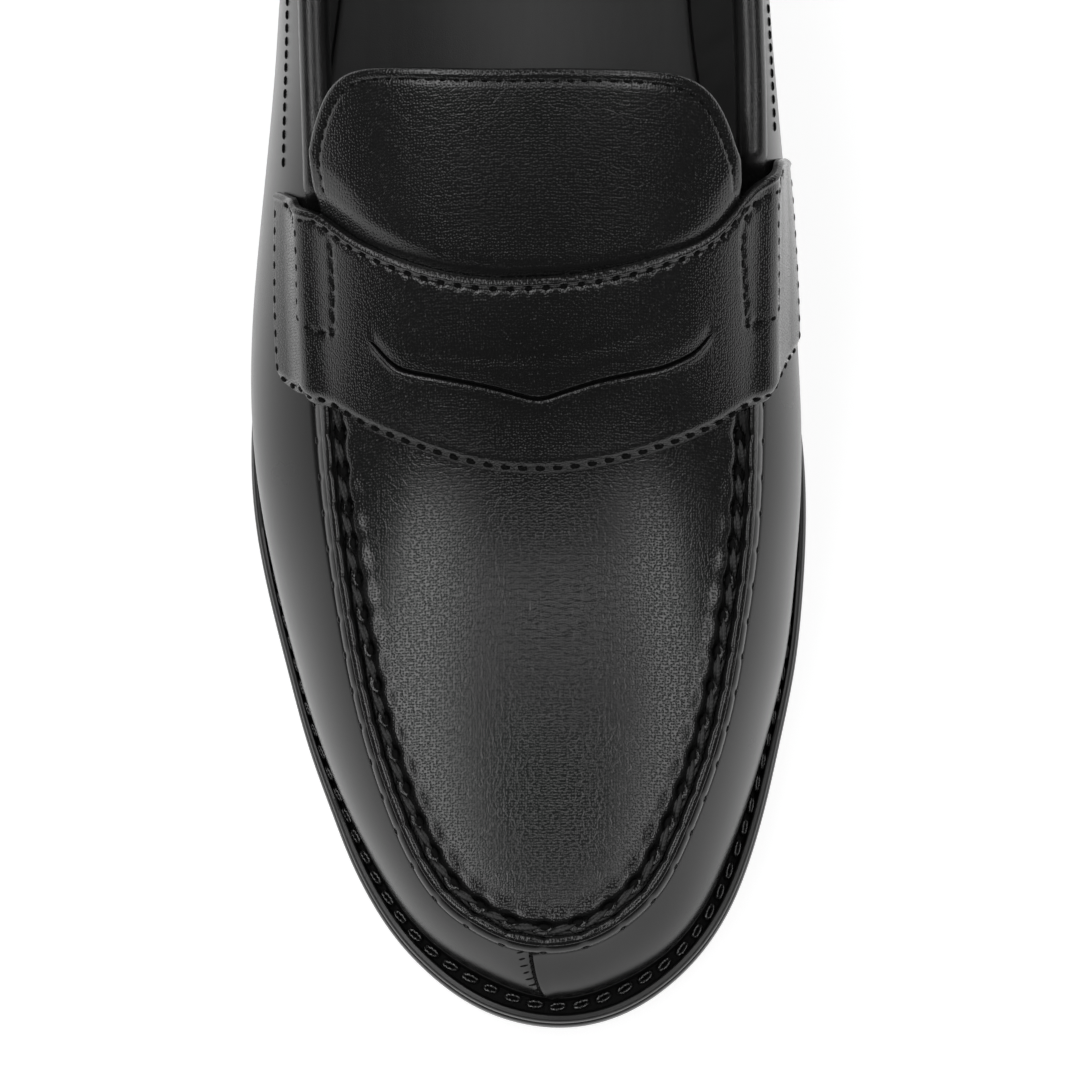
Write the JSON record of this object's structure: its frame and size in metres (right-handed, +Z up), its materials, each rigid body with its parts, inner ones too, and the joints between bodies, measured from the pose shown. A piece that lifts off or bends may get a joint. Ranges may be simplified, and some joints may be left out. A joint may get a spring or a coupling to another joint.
{
  "type": "penny loafer",
  "caption": "Black leather penny loafer for the right foot: apron-front upper, saddle strap with coin slit, liftable tongue, welted sole, stacked heel.",
  "frame": {"origin": "centre of the shoe's bounding box on the ground, under the waist", "axes": "toe towards -Y, heel towards +Y, inner (arch) side of the right foot towards +X, +Z up"},
  "size_m": [0.1072, 0.3003, 0.0995],
  "materials": {
    "upper_leather": "smooth black calf, satin",
    "grain_leather": "fine pebble grain, black, semi-gloss",
    "binding_leather": "fine grain, black, semi-gloss, rolled",
    "lining_leather": "matte, dark grey",
    "grip_suede": "napped, dark grey",
    "sole_leather": "inked and burnished edge, black",
    "welt_leather": "inked, waxed, black",
    "heel_leather": "stacked, inked black",
    "heel_rubber": "matte black rubber",
    "nail_brass": "satin",
    "thread": "waxed black thread",
    "cork": "granular cork, hidden",
    "shank_steel": "hidden",
    "insole_board": "leatherboard, hidden",
    "stiffener": "stiffened board cloth, hidden"
  },
  "bodies": {
    "shoe": {"outsole": "sole_leather", "welt": "welt_leather", "heel_rand": "welt_leather", "heel_lift_lower": "heel_leather", "heel_lift_middle": "heel_leather", "heel_lift_upper": "heel_leather", "heel_top_piece": "heel_rubber", "heel_nails": "nail_brass", "welt_stitching": "thread", "cork_filler": "cork", "shank": "shank_steel", "insole_board": "insole_board", "sock_lining": "lining_leather", "vamp_lateral": "upper_leather", "vamp_medial": "upper_leather", "toe_seam_stitching": "thread", "quarter_lateral": "upper_leather", "quarter_medial": "upper_leather", "back_strap": "upper_leather", "apron": "grain_leather", "apron_ridge": "grain_leather", "apron_stitching": "thread", "saddle_strap": "grain_leather", "strap_backing": "grain_leather", "strap_stitching": "thread", "tongue_base": "grain_leather", "collar_binding": "binding_leather", "collar_stitching": "thread", "vamp_lining": "lining_leather", "apron_lining": "lining_leather", "quarter_lining_lateral": "lining_leather", "quarter_lining_medial": "lining_leather", "heel_grip": "grip_suede", "toe_puff": "stiffener", "heel_counter": "stiffener"},
    "tongue": {"tongue": "grain_leather", "tongue_lining": "lining_leather", "tongue_stitching": "thread"}
  },
  "joints": [
    {"name": "tongue_lift", "type": "hinge", "parent": "shoe", "child": "tongue", "pos_m": [0, -0.017, 0.074], "axis": [1, 0, 0], "range_deg": [0, 15], "stiffness_Nm_per_rad": 0.08}
  ]
}
